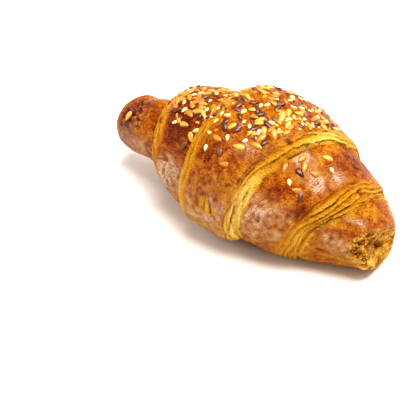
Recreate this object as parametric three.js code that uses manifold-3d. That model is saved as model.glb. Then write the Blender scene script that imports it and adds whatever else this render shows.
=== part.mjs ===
// A seeded croissant, lying on its baked underside along X. Millimetres, +Z up.
// A long triangle of laminated dough is rolled round its own axis, so the last turn is the narrowest
// and thickest, and the edges of each turn show as low steps that spiral round the roll.
import * as THREE from "three";
import { mergeVertices } from "three/addons/utils/BufferGeometryUtils.js";
import Module from "manifold-3d";

// The two ends of the roll, and how far each end's rounding reaches back from it.
const STUB_END = -67.2;
const STUB_ROUNDING = 7.5;
const TIP_END = 64.2;
const TIP_ROUNDING = 9;
const TIP_SLANT = 1.8; // the tip reaches this much further at its lower front than at its upper back
const TIP_SLANT_ANGLE = 240;

// The roll's axis: x, then its y and its height above the table.
const AXIS = [[-70, 2, 21], [-58, 0, 21.8], [-37, -0.8, 23.4], [0, 0.5, 24.6], [36, 1.5, 16.6],
  [56, 0.2, 15.6], [66, 0.8, 17.2]];
// Radius of the wound-up roll at x, as if the last turn covered everything.
const WRAP = [[-56, 20.5], [-48, 23.5], [-41, 26.8], [-34, 30.7], [-26, 32.6], [-12, 34], [6, 34.3], [20, 31.8],
  [34, 28], [48, 22.6], [58, 17.5]];
// Thickness of one turn of dough at x.
const THICKNESS = [[-50, 4.6], [-20, 5], [10, 3], [30, 2.2], [55, 2]];
// Radius of the core that the turns leave bare at both ends.
const CORE = [[-70, 12.9], [-60, 13.3], [-50, 14.2], [-40, 16], [-20, 20], [20, 20], [36, 21], [48, 17.2],
  [58, 14.6], [66, 12.7]];
const WIDER = 1.04; // a roll sags a little as it proves: wider than tall, and flatter below its axis
const LOWER_HALF = 0.88;

// Where the dough's two long edges run: degrees wound back from the tongue, then x of the edge.
const TONGUE_ANGLE = 252;
const LEFT_EDGE = [[0, 0], [20, -12], [45, -19], [62, -20], [97, -19.2], [130, -17], [148, -15.6], [170, -13.5],
  [200, -13.5], [250, -19], [340, -27], [420, -34], [463, -39.6], [506, -43.2], [530, -44.2], [610, -49], [720, -55]];
const RIGHT_EDGE = [[0, 0], [20, 8], [40, 11.5], [54, 11], [70, 8.6], [88, 7], [103, 7.3], [118, 9.2], [134, 11.8],
  [150, 14.8], [166, 18.8], [180, 23.5], [198, 29.5], [250, 34], [340, 36], [440, 37.2], [455, 39.5], [470, 43.8],
  [485, 47.6], [502, 50.3], [527, 51.5], [610, 52.5], [720, 54]];
// The rounded fall of each cut edge: its width, its height, and how blunt its shoulder is. The last
// two turns show their edges. A third runs on under them, over the core.
const LEFT_LIP = { width: 7.5, height: 6, bluntness: 2 };
const RIGHT_LIPS = [{ width: 5.4, height: 2.2, bluntness: 1.3 }, { width: 9.5, height: 2.6, bluntness: 1.25 }];
const TONGUE_THINNING = 1.6;
const TONGUE_FADE = 45;
const BLEND = 0.7; // how softly one turn's surface runs into the next
const FLAT_BLEND = 1.5; // how softly the sides run into the flat baked underside

// Slow lumps of the crust: height, waves along each millimetre, waves round the roll, phase.
const LUMPS = [[0.55, 0.01, 2, 0.6], [0.4, 0.019, -3, 2.1], [0.25, 0.033, 4, 4], [0.18, 0.05, -5, 1.2]];

// The open, torn end of the tip: a bowl off the axis.
const BOWL = { y: -2, z: -3, width: 11.5, height: 9.5, depth: 7, roundness: 1.4, reach: 13 };

// Faces round the roll, and bands of faces along it between one edge and the next.
const AROUND = 62;
const ALONG = { stubEnd: 4, stub: 4, leftBand: 3, shoulder: 3, middleBand: 3, middle: 8, rightBand: 3,
  fourth: 5, tipBand: 4, tip: 3, tipEnd: 6 };

// Linseeds and sesame: length, width and height in millimetres, and how much one end is drawn to a point.
const SEEDS = {
  golden: { length: 5, width: 2.8, height: 1.7, point: 0.35 },
  brown: { length: 4.8, width: 2.6, height: 1.6, point: 0.35 },
  sesame: { length: 3, width: 1.9, height: 1.3, point: 0.3 },
};
const SEED_SIDES = 6;
const SEED_RINGS = 3;
const SEED_SINK = 0.12; // share of its height by which a seed's middle lies above the crust

// Seeds are strewn along the top: centre x, centre angle, reach along, reach round, share of the crust.
const STREWN = [[-26, 100, 9, 26, 0.9], [-4, 88, 17, 36, 1], [13, 72, 9, 24, 0.75]];
const STREWN_COUNT = 168;
const FUSED_COUNT = 122;
const SEED_SPACING = 2.1;
const DRAW_START = 20231;
const DRAW_FACTOR = 16807;
const DRAW_SIZE = 2147483647;
// Seeds that rolled down the sides: kind, x, angle, turn on the crust in degrees.
const STRAYS = [
  ["golden", -56.9, 135, 30], ["golden", -20, 133, 60], ["golden", 4.8, 121, 5], ["golden", -7.2, 128, 15],
  ["golden", 15, 123, 75], ["golden", 17.9, 108, 100], ["golden", 20.8, 113, 70], ["golden", 25.9, 112, 165],
  ["golden", 23.9, 132, 160], ["brown", -4.3, 136, 50], ["brown", -21.8, 143, 110], ["brown", 27, 135, 70],
  ["brown", 17.2, 210, 20], ["golden", 26, 93, 150], ["sesame", -10, 137, 80], ["sesame", -4, 125, 60],
  ["sesame", 31.8, 99, 20], ["sesame", 19.4, 130, 45], ["brown", 20.6, 119, 10], ["golden", -24.6, 124, 0],
];

const radians = THREE.MathUtils.degToRad;
const clamp = THREE.MathUtils.clamp;

// Smooth curve through knots [x, value, ...]: a cubic between each pair, its slope at a knot
// weighted from the slopes on both sides.
function curve(knots, x, column = 1) {
  const last = knots.length - 1;
  let i = 0;
  while (i < last - 1 && x > knots[i + 1][0]) i += 1;
  const rise = (k) => (knots[k + 1][column] - knots[k][column]) / (knots[k + 1][0] - knots[k][0]);
  const slope = (k) => {
    if (k === 0) return rise(0);
    if (k === last) return rise(last - 1);
    const before = knots[k][0] - knots[k - 1][0];
    const after = knots[k + 1][0] - knots[k][0];
    return (before * rise(k) + after * rise(k - 1)) / (before + after);
  };
  const span = knots[i + 1][0] - knots[i][0];
  const t = clamp((x - knots[i][0]) / span, 0, 1);
  const start = knots[i][column];
  const end = knots[i + 1][column];
  const blend = t * t * (3 - 2 * t);
  return start + (end - start) * blend + span * t * (1 - t) * ((1 - t) * slope(i) - t * slope(i + 1));
}

// The larger of two numbers, rounded off where they are within `soft` of each other.
function softMax(a, b, soft) {
  const h = clamp(0.5 + (0.5 * (a - b)) / soft, 0, 1);
  return b + (a - b) * h + soft * h * (1 - h);
}

// How far the dough has dropped at a distance inside its cut edge: a quarter of a superellipse.
function edgeDrop(inside, lip) {
  if (inside < 0) return lip.height - 3 * inside;
  const t = clamp(1 - inside / lip.width, 0, 1);
  return lip.height * (1 - Math.pow(1 - t * t, 1 / lip.bluntness));
}

const lumpsAt = (x, angle) => LUMPS.reduce(
  (sum, [height, along, around, phase]) =>
    sum + height * Math.sin(2 * Math.PI * along * x + around * radians(angle) + phase), 0);

const woundBack = (angle, turn) => ((((TONGUE_ANGLE - angle) % 360) + 360) % 360) + 360 * turn;

// Radius of the crust: the largest of what the last turn, the turn under it and the core give there.
// Each lower surface is pinched in beside the edge of the turn that lies on it.
function crustRadius(x, angle) {
  const lumps = lumpsAt(x, angle);
  const pinch = x < 0 ? { depth: 2, reach: 6 } : { depth: 0.5, reach: 3.5 };
  const wrap = (turn) => curve(WRAP, x) + lumps - (curve(THICKNESS, x) * woundBack(angle, turn)) / 360;
  let radius = -Infinity;
  let outside = Infinity;
  RIGHT_LIPS.forEach((rightLip, turn) => {
    const wound = woundBack(angle, turn);
    const fromLeft = x - curve(LEFT_EDGE, wound);
    const fromRight = curve(RIGHT_EDGE, wound) - x;
    const drop = Math.max(edgeDrop(fromLeft, LEFT_LIP), edgeDrop(fromRight, rightLip));
    const top = wrap(turn) - drop - TONGUE_THINNING * Math.exp(-wound / TONGUE_FADE)
      - pinch.depth * Math.exp(-outside / pinch.reach);
    radius = turn === 0 ? top : softMax(radius, top, BLEND);
    outside = Math.max(0, -Math.min(fromLeft, fromRight));
  });
  const core = Math.max(wrap(RIGHT_LIPS.length), curve(CORE, x) + 0.7 * lumps);
  return softMax(radius, core - pinch.depth * Math.exp(-outside / pinch.reach), BLEND);
}

// A point of the crust at x and at an angle round the roll: 0 behind, 90 on top, 180 in front.
// `share` draws a ring in to close the ends.
function crustPoint(x, angle, share = 1) {
  const slopeY = curve(AXIS, x + 0.5, 1) - curve(AXIS, x - 0.5, 1);
  const slopeZ = curve(AXIS, x + 0.5, 2) - curve(AXIS, x - 0.5, 2);
  const along = new THREE.Vector3(1, slopeY, slopeZ).normalize();
  const sideways = new THREE.Vector3(0, 0, 1).cross(along).normalize();
  const upwards = new THREE.Vector3().crossVectors(along, sideways);
  const radius = crustRadius(x, angle) * share;
  const across = WIDER * radius * Math.cos(radians(angle));
  const sine = Math.sin(radians(angle));
  const above = (sine > 0 ? 1 : LOWER_HALF) * radius * sine;
  const point = new THREE.Vector3(x, curve(AXIS, x, 1), curve(AXIS, x, 2))
    .addScaledVector(sideways, across)
    .addScaledVector(upwards, above);
  const fromBowl = Math.hypot((across - BOWL.y) / BOWL.width, (above - BOWL.z) / BOWL.height);
  const nearEnd = clamp((x - TIP_END + BOWL.reach) / TIP_ROUNDING, 0, 1);
  point.x -= BOWL.depth * nearEnd * Math.pow(Math.max(0, 1 - fromBowl * fromBowl), BOWL.roundness);
  point.z = softMax(point.z, 0, FLAT_BLEND);
  return point;
}

// Rings of the mesh follow the dough's edges round the roll, and cross from one turn's edge to the
// next underneath, so that every step is crisp.
function edgeRing(edge, angle, turn, inwards) {
  const start = 25;
  const end = 320;
  const wound = woundBack(angle, 0);
  if (wound >= start && wound <= end) return curve(edge, wound + 360 * turn) + inwards;
  const gap = (wound > end ? wound - end : wound + 360 - end) / (start + 360 - end);
  const first = curve(edge, end + 360 * turn);
  const last = curve(edge, start + 360 * turn);
  return first + (last - first) * gap * gap * (3 - 2 * gap) + inwards;
}

function ringStops(angle) {
  const clear = 0.5;
  const tipStart = TIP_END - TIP_ROUNDING + TIP_SLANT * Math.cos(radians(angle - TIP_SLANT_ANGLE));
  return [
    STUB_END + STUB_ROUNDING,
    edgeRing(LEFT_EDGE, angle, 1, 0),
    edgeRing(LEFT_EDGE, angle, 1, LEFT_LIP.width + clear),
    edgeRing(LEFT_EDGE, angle, 0, 0),
    edgeRing(LEFT_EDGE, angle, 0, LEFT_LIP.width + clear),
    edgeRing(RIGHT_EDGE, angle, 0, -RIGHT_LIPS[0].width - clear),
    edgeRing(RIGHT_EDGE, angle, 0, 0),
    edgeRing(RIGHT_EDGE, angle, 1, -RIGHT_LIPS[1].width - clear),
    Math.min(edgeRing(RIGHT_EDGE, angle, 1, 0), tipStart - clear),
    tipStart,
  ];
}

// The crust as one closed mesh: a pole at each end and rings between them.
function rollGeometry() {
  const bands = [ALONG.stub, ALONG.leftBand, ALONG.shoulder, ALONG.middleBand, ALONG.middle, ALONG.rightBand,
    ALONG.fourth, ALONG.tipBand, ALONG.tip];
  const rings = [];
  for (let i = 1; i < ALONG.stubEnd; i += 1) {
    const turn = (Math.PI / 2) * (i / ALONG.stubEnd);
    rings.push({ x: () => STUB_END + STUB_ROUNDING * (1 - Math.cos(turn)), share: Math.sin(turn) });
  }
  bands.forEach((count, band) => {
    for (let i = 0; i < count; i += 1) {
      rings.push({ x: (stops) => stops[band] + ((stops[band + 1] - stops[band]) * i) / count, share: 1 });
    }
  });
  for (let i = 0; i < ALONG.tipEnd; i += 1) {
    const turn = (Math.PI / 2) * (i / ALONG.tipEnd);
    const flat = TIP_END - TIP_ROUNDING;
    const x = (stops) => flat + (stops[bands.length] - flat) * Math.cos(turn) + TIP_ROUNDING * Math.sin(turn);
    rings.push({ x, share: Math.cos(turn) });
  }
  const points = [];
  rings.forEach((ring) => {
    for (let j = 0; j < AROUND; j += 1) {
      const angle = (360 * j) / AROUND;
      points.push(crustPoint(ring.x(ringStops(angle)), angle, ring.share));
    }
  });
  const stubPole = points.push(crustPoint(STUB_END, 0, 0)) - 1;
  const tipPole = points.push(crustPoint(TIP_END, 0, 0)) - 1;
  const faces = [];
  const at = (i, j) => i * AROUND + (j % AROUND);
  for (let j = 0; j < AROUND; j += 1) {
    faces.push(stubPole, at(0, j + 1), at(0, j));
    for (let i = 0; i + 1 < rings.length; i += 1) {
      faces.push(at(i, j), at(i + 1, j + 1), at(i + 1, j), at(i, j), at(i, j + 1), at(i + 1, j + 1));
    }
    faces.push(at(rings.length - 1, j), at(rings.length - 1, j + 1), tipPole);
  }
  const geometry = new THREE.BufferGeometry().setFromPoints(points);
  geometry.setIndex(faces);
  return geometry;
}

// Draws numbers from 0 to 1, the same ones each time.
function makeDraw() {
  let state = DRAW_START;
  return () => {
    state = (state * DRAW_FACTOR) % DRAW_SIZE;
    return state / DRAW_SIZE;
  };
}

// Every seed: its kind, place, turn on the crust, share of full size, and tilt. A seed is kept where
// the strewn patches are dense enough for its draw and no other seed lies too near.
function scatterSeeds() {
  const draw = makeDraw();
  const seeds = STRAYS.map(([kind, x, angle, turn]) => ({ kind, x, angle, turn, size: 1, tilt: 4 }));
  const places = seeds.map((seed) => crustPoint(seed.x, seed.angle));
  while (seeds.length < STREWN_COUNT + STRAYS.length) {
    const x = -36 + 60 * draw();
    const angle = 44 + 86 * draw();
    const chance = draw();
    const kindDraw = draw();
    const turn = 180 * draw();
    const size = 0.84 + 0.26 * draw();
    const tilt = -14 + 28 * draw();
    const share = Math.max(...STREWN.map(([cx, ca, rx, ra, most]) =>
      most * Math.exp(-Math.pow(Math.abs(x - cx) / rx, 4) - Math.pow(Math.abs(angle - ca) / ra, 4))));
    const place = crustPoint(x, angle);
    const crowded = places.some((other) => other.distanceTo(place) < SEED_SPACING);
    if (chance > share || crowded) continue;
    const darker = 0.16 + 0.5 * Math.exp(-(((x + 5) / 8) ** 2) - ((angle - 110) / 14) ** 2);
    const kind = kindDraw < darker ? "brown" : kindDraw < darker + 0.3 ? "sesame" : "golden";
    seeds.push({ kind, x, angle, turn, size, tilt });
    places.push(place);
  }
  return seeds;
}

// A seed is a ball drawn out along its length, with one end more pointed, laid flat on the crust.
function seedGeometry(seed) {
  const { length, width, height, point } = SEEDS[seed.kind];
  const geometry = new THREE.SphereGeometry(1, SEED_SIDES, SEED_RINGS);
  geometry.rotateZ(-Math.PI / 2);
  const corners = geometry.getAttribute("position");
  for (let i = 0; i < corners.count; i += 1) {
    const x = corners.getX(i);
    const waist = 1 - point * x;
    corners.setXYZ(i, (x * length * seed.size) / 2, (corners.getY(i) * width * waist * seed.size) / 2,
      (corners.getZ(i) * height * seed.size) / 2);
  }
  const place = crustPoint(seed.x, seed.angle);
  const along = crustPoint(seed.x + 0.8, seed.angle).sub(crustPoint(seed.x - 0.8, seed.angle)).normalize();
  const around = crustPoint(seed.x, seed.angle + 1.5).sub(crustPoint(seed.x, seed.angle - 1.5)).normalize();
  const outwards = new THREE.Vector3().crossVectors(along, around).normalize();
  const across = new THREE.Vector3().crossVectors(outwards, along);
  const laid = new THREE.Matrix4().makeBasis(along, across, outwards);
  laid.multiply(new THREE.Matrix4().makeRotationZ(radians(seed.turn)));
  laid.multiply(new THREE.Matrix4().makeRotationY(radians(seed.tilt)));
  laid.setPosition(place.addScaledVector(outwards, SEED_SINK * height));
  return geometry.applyMatrix4(laid);
}

const wasm = await Module();
wasm.setup();

// A closed geometry as a solid that can be joined to others.
function toSolid(geometry) {
  geometry.deleteAttribute("normal");
  geometry.deleteAttribute("uv");
  const merged = mergeVertices(geometry, 1e-4);
  return new wasm.Manifold(new wasm.Mesh({
    numProp: 3,
    vertProperties: new Float32Array(merged.getAttribute("position").array),
    triVerts: new Uint32Array(merged.getIndex().array),
  }));
}

function toGeometry(solid) {
  const mesh = solid.getMesh();
  const geometry = new THREE.BufferGeometry();
  geometry.setAttribute("position", new THREE.BufferAttribute(mesh.vertProperties, 3));
  geometry.setIndex(new THREE.BufferAttribute(mesh.triVerts, 1));
  return geometry;
}

// The longest seeds are fused first, up to the number that the model can carry.
const longestFirst = scatterSeeds().sort((a, b) => SEEDS[b.kind].length - SEEDS[a.kind].length);
const solid = longestFirst.slice(0, FUSED_COUNT)
  .reduce((fused, seed) => fused.add(toSolid(seedGeometry(seed))), toSolid(rollGeometry()));

const croissant = new THREE.Mesh(
  toGeometry(solid),
  new THREE.MeshStandardMaterial({ color: 0xb5651d, roughness: 0.4, metalness: 0 }),
);
croissant.name = "croissant";
// The roll is set so that its box stands centred over the origin.
croissant.position.set(2.85, -0.2, 0);

const group = new THREE.Group();
group.add(croissant);
export default group;
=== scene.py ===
import math

import bpy
import numpy as np
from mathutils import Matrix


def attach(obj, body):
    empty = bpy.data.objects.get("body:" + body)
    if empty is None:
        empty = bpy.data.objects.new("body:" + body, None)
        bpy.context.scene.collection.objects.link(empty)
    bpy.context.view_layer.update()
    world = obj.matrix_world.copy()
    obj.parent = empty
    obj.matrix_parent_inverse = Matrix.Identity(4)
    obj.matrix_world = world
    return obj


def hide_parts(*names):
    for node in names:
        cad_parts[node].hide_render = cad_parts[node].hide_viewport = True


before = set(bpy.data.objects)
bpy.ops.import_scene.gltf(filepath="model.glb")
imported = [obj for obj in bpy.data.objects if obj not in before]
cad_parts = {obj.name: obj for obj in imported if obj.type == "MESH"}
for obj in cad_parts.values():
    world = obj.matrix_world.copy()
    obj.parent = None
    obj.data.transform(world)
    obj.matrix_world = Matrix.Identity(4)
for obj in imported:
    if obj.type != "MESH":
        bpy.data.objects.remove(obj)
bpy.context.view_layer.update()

# The crust: one long triangle of laminated wheat dough, rolled round its own axis, egg-washed and
# baked on a flat tray. Each turn lies as a narrower wrap over the one below, so the cut edges of
# the dough show as low spiral steps. All sizes here are in millimetres, angles in degrees.

STUB_END = -67.2
STUB_ROUNDING = 7.5
TIP_END = 64.2
TIP_ROUNDING = 9
TIP_SLANT = 1.8
TIP_SLANT_ANGLE = 240
PLACE = np.array([2.85, -0.2, 0.0])

AXIS = [[-70, 2, 21], [-58, 0, 21.8], [-37, -0.8, 23.4], [0, 0.5, 24.6], [36, 1.5, 16.6],
        [56, 0.2, 15.6], [66, 0.8, 17.2]]
WRAP = [[-56, 20.5], [-48, 23.5], [-41, 26.8], [-34, 30.7], [-26, 32.6], [-12, 34], [6, 34.3],
        [20, 31.8], [34, 28], [48, 22.6], [58, 17.5]]
THICKNESS = [[-50, 4.6], [-20, 5], [10, 3], [30, 2.2], [55, 2]]
CORE = [[-70, 12.9], [-60, 13.3], [-50, 14.2], [-40, 16], [-20, 20], [20, 20], [36, 21],
        [48, 17.2], [58, 14.6], [66, 12.7]]
WIDER = 1.04
LOWER_HALF = 0.88

TONGUE_ANGLE = 252
LEFT_EDGE = [[0, 0], [20, -12], [45, -19], [62, -20], [97, -19.2], [130, -17], [148, -15.6],
             [170, -13.5], [200, -13.5], [250, -19], [340, -27], [420, -34], [463, -39.6],
             [506, -43.2], [530, -44.2], [610, -49], [720, -55]]
RIGHT_EDGE = [[0, 0], [20, 8], [40, 11.5], [54, 11], [70, 8.6], [88, 7], [103, 7.3], [118, 9.2],
              [134, 11.8], [150, 14.8], [166, 18.8], [180, 23.5], [198, 29.5], [250, 34],
              [340, 36], [440, 37.2], [455, 39.5], [470, 43.8], [485, 47.6], [502, 50.3],
              [527, 51.5], [610, 52.5], [720, 54]]
# Width, height and bluntness of the rounded fall at each cut edge, for the last turn and the next.
LEFT_LIP = (7.5, 6.0, 2.0)
RIGHT_LIPS = [(5.4, 2.2, 1.3), (9.5, 2.6, 1.25)]
TONGUE_THINNING = 1.6
TONGUE_FADE = 45
# How deep the lower turn is pressed in beside an edge, and how far from it: left half, right half.
PRESSED, PRESSED_REACH = (2.0, 0.5), (6.0, 3.5)
BLEND = 0.7
FLAT_BLEND = 1.5
# The roll's unevenness: height, waves for each millimetre along, waves round it, and phase.
LUMPS = [(0.55, 0.01, 2, 0.6), (0.4, 0.019, -3, 2.1), (0.25, 0.033, 4, 4.0), (0.18, 0.05, -5, 1.2)]
BOWL = {"y": -2, "z": -3, "width": 11.5, "height": 9.5, "depth": 7, "roundness": 1.4, "reach": 13}

# Points round a ring, the rings in each part of the roll, where round the dough a ring starts and
# stops following an edge, and how far rings beside an edge keep from it.
AROUND = 312
EDGE_START, EDGE_STOP, CLEAR = 25.0, 320.0, 0.5
ALONG = {"stub end": 20, "stub": 32, "left band": 26, "shoulder": 16, "middle band": 26,
         "middle": 52, "right band": 26, "fourth": 30, "tip band": 38, "tip": 14, "tip end": 26}


def curve(knots, x, column=1):
    """A cubic between each pair of knots, with the slope at a knot weighted from both sides."""
    table = np.array(knots, float)
    place, value = table[:, 0], table[:, column]
    slope = np.gradient(value, place)
    i = np.clip(np.searchsorted(place, x, side="left") - 1, 0, len(place) - 2)
    span = place[i + 1] - place[i]
    t = np.clip((x - place[i]) / span, 0, 1)
    blend = t * t * (3 - 2 * t)
    lean = span * t * (1 - t) * ((1 - t) * slope[i] - t * slope[i + 1])
    return value[i] + (value[i + 1] - value[i]) * blend + lean


def soft_max(a, b, soft):
    """The larger of a and b, rounded off where they are within soft of each other."""
    h = np.clip(0.5 + 0.5 * (a - b) / soft, 0, 1)
    return b + (a - b) * h + soft * h * (1 - h)


def ease(value, low, high):
    """0 below low, 1 above high, and 3t^2 - 2t^3 between them."""
    t = np.clip((value - low) / (high - low), 0, 1)
    return t * t * (3 - 2 * t)


def edge_drop(inside, lip):
    """How far the dough has dropped at a distance inside its edge: a quarter superellipse."""
    width, height, bluntness = lip
    t = np.clip(1 - inside / width, 0, 1)
    return np.where(inside < 0, height - 3 * inside, height * (1 - (1 - t * t) ** (1 / bluntness)))


def wound_back(angle, turn):
    """How far round the dough lies from its free end, in degrees: one turn more is 360 more."""
    return (TONGUE_ANGLE - angle) % 360.0 + 360.0 * turn


def crust_layers(x, angle):
    """Radius at x and angle: the largest of the last turn, the turn below and the core. Also the
    turn that shows there, and how far inside that turn's left and right edges the point lies."""
    lumps = sum(height * np.sin(2 * np.pi * along * x + around * np.radians(angle) + phase)
                for height, along, around, phase in LUMPS)
    depth, reach = np.where(x < 0, *PRESSED), np.where(x < 0, *PRESSED_REACH)
    base, thick = curve(WRAP, x) + lumps, curve(THICKNESS, x) / 360
    radius, outside, shows = None, np.inf, 0
    for turn, right_lip in enumerate(RIGHT_LIPS):
        wound = wound_back(angle, turn)
        from_left, from_right = x - curve(LEFT_EDGE, wound), curve(RIGHT_EDGE, wound) - x
        drop = np.maximum(edge_drop(from_left, LEFT_LIP), edge_drop(from_right, right_lip))
        thinning = TONGUE_THINNING * np.exp(-wound / TONGUE_FADE)
        top = base - thick * wound - drop - thinning - depth * np.exp(-outside / reach)
        if turn == 0:
            radius, left_in, right_in = top, from_left, from_right
        else:
            lower = top > radius
            shows = np.where(lower, turn, shows)
            left_in = np.where(lower, from_left, left_in)
            right_in = np.where(lower, from_right, right_in)
            radius = soft_max(radius, top, BLEND)
        outside = np.clip(-np.minimum(from_left, from_right), 0, None)
    core = np.maximum(base - thick * wound_back(angle, 2), curve(CORE, x) + 0.7 * lumps)
    core = core - depth * np.exp(-outside / reach)
    bare = core > radius
    shows = np.where(bare, 2, shows)
    return soft_max(radius, core, BLEND), shows, left_in, right_in


def crust_point(x, angle, share=1.0):
    """The point of the crust at x and angle, 0 behind and 90 on top: the radius, turned about the
    axis, with the lower half flatter, the bowl pressed in at the tip and the base cut flat."""
    slope_y = curve(AXIS, x + 0.5, 1) - curve(AXIS, x - 0.5, 1)
    slope_z = curve(AXIS, x + 0.5, 2) - curve(AXIS, x - 0.5, 2)
    along = np.stack([np.ones_like(slope_y), slope_y, slope_z], -1)
    along /= np.linalg.norm(along, axis=-1, keepdims=True)
    sideways = np.cross([0.0, 0.0, 1.0], along)
    sideways /= np.linalg.norm(sideways, axis=-1, keepdims=True)
    upwards = np.cross(along, sideways)
    radius = crust_layers(x, angle)[0] * share
    sine = np.sin(np.radians(angle))
    across = WIDER * radius * np.cos(np.radians(angle))
    above = np.where(sine > 0, 1, LOWER_HALF) * radius * sine
    centre = np.stack([x, curve(AXIS, x, 1), curve(AXIS, x, 2)], -1)
    point = centre + across[..., None] * sideways + above[..., None] * upwards
    from_bowl = np.hypot((across - BOWL["y"]) / BOWL["width"], (above - BOWL["z"]) / BOWL["height"])
    near_end = np.clip((x - TIP_END + BOWL["reach"]) / TIP_ROUNDING, 0, 1)
    hollow = np.clip(1 - from_bowl ** 2, 0, None) ** BOWL["roundness"] * near_end
    point[..., 0] -= BOWL["depth"] * hollow
    point[..., 2] = soft_max(point[..., 2], 0.0, FLAT_BLEND)
    return point


def edge_ring(edge, angle, turn, inwards):
    """x of a ring that follows an edge of one turn, and crosses to the next turn's edge below."""
    wound = wound_back(angle, 0)
    inside = curve(edge, np.clip(wound, EDGE_START, EDGE_STOP) + 360 * turn)
    past_stop = np.where(wound > EDGE_STOP, wound - EDGE_STOP, wound + 360 - EDGE_STOP)
    gap = past_stop / (EDGE_START + 360 - EDGE_STOP)
    first, last = (curve(edge, np.array(end + 360 * turn)) for end in (EDGE_STOP, EDGE_START))
    crossing = first + (last - first) * gap * gap * (3 - 2 * gap)
    return np.where((wound >= EDGE_START) & (wound <= EDGE_STOP), inside, crossing) + inwards


def crust_rings():
    """x of every ring at every angle, the angles, and the share to which each ring is drawn in."""
    angle = np.arange(AROUND) * 360.0 / AROUND
    tip = TIP_END - TIP_ROUNDING + TIP_SLANT * np.cos(np.radians(angle - TIP_SLANT_ANGLE))
    stops = [
        np.full(AROUND, STUB_END + STUB_ROUNDING),
        edge_ring(LEFT_EDGE, angle, 1, 0),
        edge_ring(LEFT_EDGE, angle, 1, LEFT_LIP[0] + CLEAR),
        edge_ring(LEFT_EDGE, angle, 0, 0),
        edge_ring(LEFT_EDGE, angle, 0, LEFT_LIP[0] + CLEAR),
        edge_ring(RIGHT_EDGE, angle, 0, -RIGHT_LIPS[0][0] - CLEAR),
        edge_ring(RIGHT_EDGE, angle, 0, 0),
        edge_ring(RIGHT_EDGE, angle, 1, -RIGHT_LIPS[1][0] - CLEAR),
        np.minimum(edge_ring(RIGHT_EDGE, angle, 1, 0), tip - CLEAR),
        tip,
    ]
    counts = list(ALONG.values())
    turn = np.pi / 2 * np.arange(1, counts[0])[:, None] / counts[0]
    rings = [np.broadcast_to(STUB_END + STUB_ROUNDING * (1 - np.cos(turn)), (len(turn), AROUND))]
    shares = [np.sin(turn[:, 0])]
    for band, count in enumerate(counts[1:-1]):
        part = np.arange(count)[:, None] / count
        rings.append(stops[band] + (stops[band + 1] - stops[band]) * part)
        shares.append(np.ones(count))
    turn = np.pi / 2 * np.arange(counts[-1])[:, None] / counts[-1]
    flat = TIP_END - TIP_ROUNDING
    rings.append(flat + (tip - flat) * np.cos(turn) + TIP_ROUNDING * np.sin(turn))
    shares.append(np.cos(turn[:, 0]))
    x = np.concatenate(rings)
    return x, np.broadcast_to(angle, x.shape), np.concatenate(shares)[:, None]


LATTICE = np.random.default_rng(41).uniform(-1.0, 1.0, (48, 48, 48))


def noise(points, grain, shift=0.0):
    """Smooth noise from -1 to 1: random numbers at the corners of cubes of size grain, blended
    between the corners by 3t^2 - 2t^3."""
    place = points / grain + shift
    cell = np.floor(place).astype(int)
    part = place - cell
    part = part * part * (3 - 2 * part)
    total = 0.0
    for corner in np.ndindex(2, 2, 2):
        step = np.array(corner)
        weight = np.prod(np.where(step == 1, part, 1 - part), axis=-1)
        total = total + weight * LATTICE[tuple(np.moveaxis((cell + step) % 48, -1, 0))]
    return total


def rough(points, grain, shift=0.0):
    """Three sizes of noise, each half as coarse and half as high as the one before."""
    return (noise(points, grain, shift) + 0.5 * noise(points, grain / 2, shift + 7)
            + 0.25 * noise(points, grain / 4, shift + 13)) / 1.4


def patches(x, angle, spots):
    """The sum of soft round spots, each with its x, angle, reach along, reach round and amount."""
    return sum(amount * np.exp(-((x - cx) / rx) ** 2 - ((angle - ca) / ra) ** 2)
               for cx, ca, rx, ra, amount in spots)


# Where the oven has browned the crust most, and least: x, angle, reach along, reach round, amount.
BROWNED = [
    (-57, 126, 7, 34, 0.2), (-50, 140, 5, 22, -0.26), (-52, 168, 9, 22, -0.12), (-44, 133, 4, 30, 0.1),
    (-27, 118, 9, 34, 0.44), (-26, 182, 12, 22, -0.20), (-8, 138, 8, 26, 0.15), (2, 143, 6, 9, 0.1),
    (3, 158, 6, 7, -0.16), (-11, 157, 3, 26, -0.08), (-2, 190, 18, 20, -0.18), (16.9, 145, 4, 7, 0.3),
    (15.6, 109, 3, 7, -0.3), (24, 136, 5, 6, 0.18), (32, 145, 5, 10, 0.22), (36, 70, 9, 22, 0.2),
    (24, 88, 4, 22, -0.34), (23, 180, 16, 20, -0.16), (55, 101, 5, 12, -0.3), (46, 140, 4, 8, -0.34),
    (50, 122, 4, 10, -0.3), (53, 168, 6, 12, -0.2), (44, 165, 4, 10, -0.25), (-4, 202, 12, 14, -0.2),
    (48, 192, 10, 18, -0.16), (60, 105, 3, 40, 0.12), (5, 60, 26, 40, 0.14), (-6, 28, 12, 14, 0.12),
    (27, 40, 6, 12, 0.2), (-26, 50, 7, 14, 0.16), (2, 340, 20, 22, -0.16), (-54, 30, 8, 24, -0.14),
    (46, 30, 6, 20, -0.12), (15, 270, 60, 45, 0.10),
]
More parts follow.
